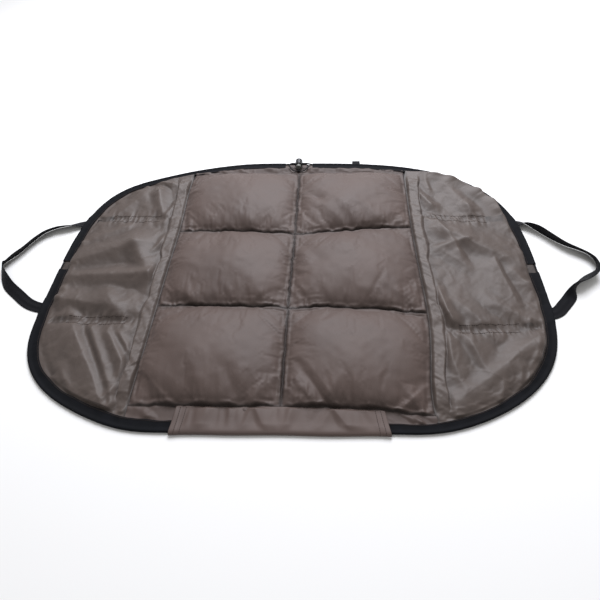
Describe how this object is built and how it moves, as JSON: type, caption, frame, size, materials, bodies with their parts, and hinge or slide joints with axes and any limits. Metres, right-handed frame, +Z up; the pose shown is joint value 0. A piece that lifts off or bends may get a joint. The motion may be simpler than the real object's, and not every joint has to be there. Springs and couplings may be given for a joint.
{
  "type": "unhooking mat",
  "caption": "Oval padded landing mat for fish: quilted brown pillow panel between two loose elasticated wings, black bound edge with a drawcord and lock, webbing carry handles and a front flap",
  "frame": {"origin": "on the ground under the middle of the mat", "axes": "+X to the right-hand handle, +Y to the back edge with the cord lock, +Z up"},
  "size_m": [1.3178, 0.7626, 0.0337],
  "materials": {
    "nylon_cover": "satin-faced brown nylon, quilted",
    "nylon_wing": "satin-faced brown nylon, loose and creased",
    "ground_cloth": "coated brown nylon",
    "binding_tape": "woven black tape",
    "webbing": "woven black webbing",
    "cord": "braided black cord",
    "wadding": "white polyester wadding",
    "elastic": "white braided elastic",
    "black_plastic": "moulded black acetal",
    "grey_plastic": "moulded grey acetal",
    "spring_steel": "drawn spring wire"
  },
  "bodies": {
    "panel": {"ground_sheet": "ground_cloth", "cover_left": "nylon_cover", "pad_back_left": "wadding", "pad_middle_left": "wadding", "pad_front_left": "wadding", "pleat_left": "nylon_wing", "binding_back_left": "binding_tape", "drawcord_back_left": "cord", "cover_right": "nylon_cover", "pad_back_right": "wadding", "pad_middle_right": "wadding", "pad_front_right": "wadding", "pleat_right": "nylon_wing", "binding_back_right": "binding_tape", "drawcord_back_right": "cord", "binding_front": "binding_tape", "drawcord_front": "cord", "drawcord_knot": "cord", "back_loop": "webbing"},
    "left_wing": {"wing_sheet_left": "ground_cloth", "wing_cover_left": "nylon_wing", "binding_wing_back_left": "binding_tape", "binding_wing_front_left": "binding_tape", "drawcord_wing_left": "cord", "elastic_back_left": "elastic", "elastic_front_left": "elastic", "handle_end_back_left": "webbing", "handle_end_front_left": "webbing"},
    "right_wing": {"wing_sheet_right": "ground_cloth", "wing_cover_right": "nylon_wing", "binding_wing_back_right": "binding_tape", "binding_wing_front_right": "binding_tape", "drawcord_wing_right": "cord", "elastic_back_right": "elastic", "elastic_front_right": "elastic", "handle_end_back_right": "webbing", "handle_end_front_right": "webbing"},
    "left_handle": {"handle_left": "webbing"},
    "right_handle": {"handle_right": "webbing"},
    "front_flap": {"flap": "nylon_wing"},
    "cord_lock": {"lock_body": "black_plastic", "lock_spring": "spring_steel"},
    "lock_push": {"lock_button": "grey_plastic"}
  },
  "joints": [
    {"name": "wing_fold_left", "type": "hinge", "parent": "panel", "child": "left_wing", "pos_m": [-0.305, 0, 0.0063], "axis": [0, 1, 0], "range_deg": [0, 110]},
    {"name": "wing_fold_right", "type": "hinge", "parent": "panel", "child": "right_wing", "pos_m": [0.305, 0, 0.0063], "axis": [0, -1, 0], "range_deg": [0, 110]},
    {"name": "handle_fold_left", "type": "hinge", "parent": "left_wing", "child": "left_handle", "pos_m": [-0.53, 0, 0.0018], "axis": [0, 1, 0], "range_deg": [0, 130]},
    {"name": "handle_fold_right", "type": "hinge", "parent": "right_wing", "child": "right_handle", "pos_m": [0.53, 0, 0.0018], "axis": [0, -1, 0], "range_deg": [0, 130]},
    {"name": "flap_fold", "type": "hinge", "parent": "panel", "child": "front_flap", "pos_m": [0, -0.33, 0.0033], "axis": [-1, 0, 0], "range_deg": [0, 110]},
    {"name": "lock_slide", "type": "slide", "parent": "panel", "child": "cord_lock", "axis": [1, 0, 0], "range_m": [-0.004, 0.004]},
    {"name": "button_slide", "type": "slide", "parent": "cord_lock", "child": "lock_push", "axis": [0, 1, 0], "range_m": [0, 0.003], "stiffness_N_per_m": 400, "springref_m": -0.004, "deforming": ["lock_spring"]}
  ]
}
